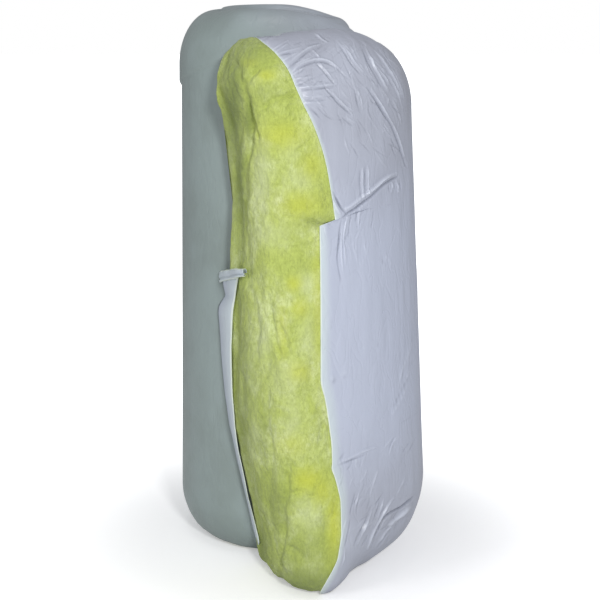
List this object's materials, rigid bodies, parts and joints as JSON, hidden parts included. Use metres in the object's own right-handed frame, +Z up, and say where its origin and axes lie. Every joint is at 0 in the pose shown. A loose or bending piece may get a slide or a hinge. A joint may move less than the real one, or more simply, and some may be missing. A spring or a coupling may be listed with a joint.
{
  "type": "water heater insulation blanket",
  "caption": "Rolled glass wool blanket with a white vinyl facing, stood on end, its thick loose outer end open in front and showing the yellow wool.",
  "frame": {"origin": "middle of the whole blanket's box at the floor", "axes": "+Z up along the roll, -Y towards the loose end's open glass wool edge, +X towards the side on which the loose end leaves the roll"},
  "size_m": [0.5579, 0.7006, 1.219],
  "materials": {
    "glass_wool": "fibrous matt",
    "vinyl": "satin film"
  },
  "bodies": {
    "root": {"glass_wool_batt": "glass_wool", "vinyl_facing": "vinyl"}
  },
  "joints": []
}
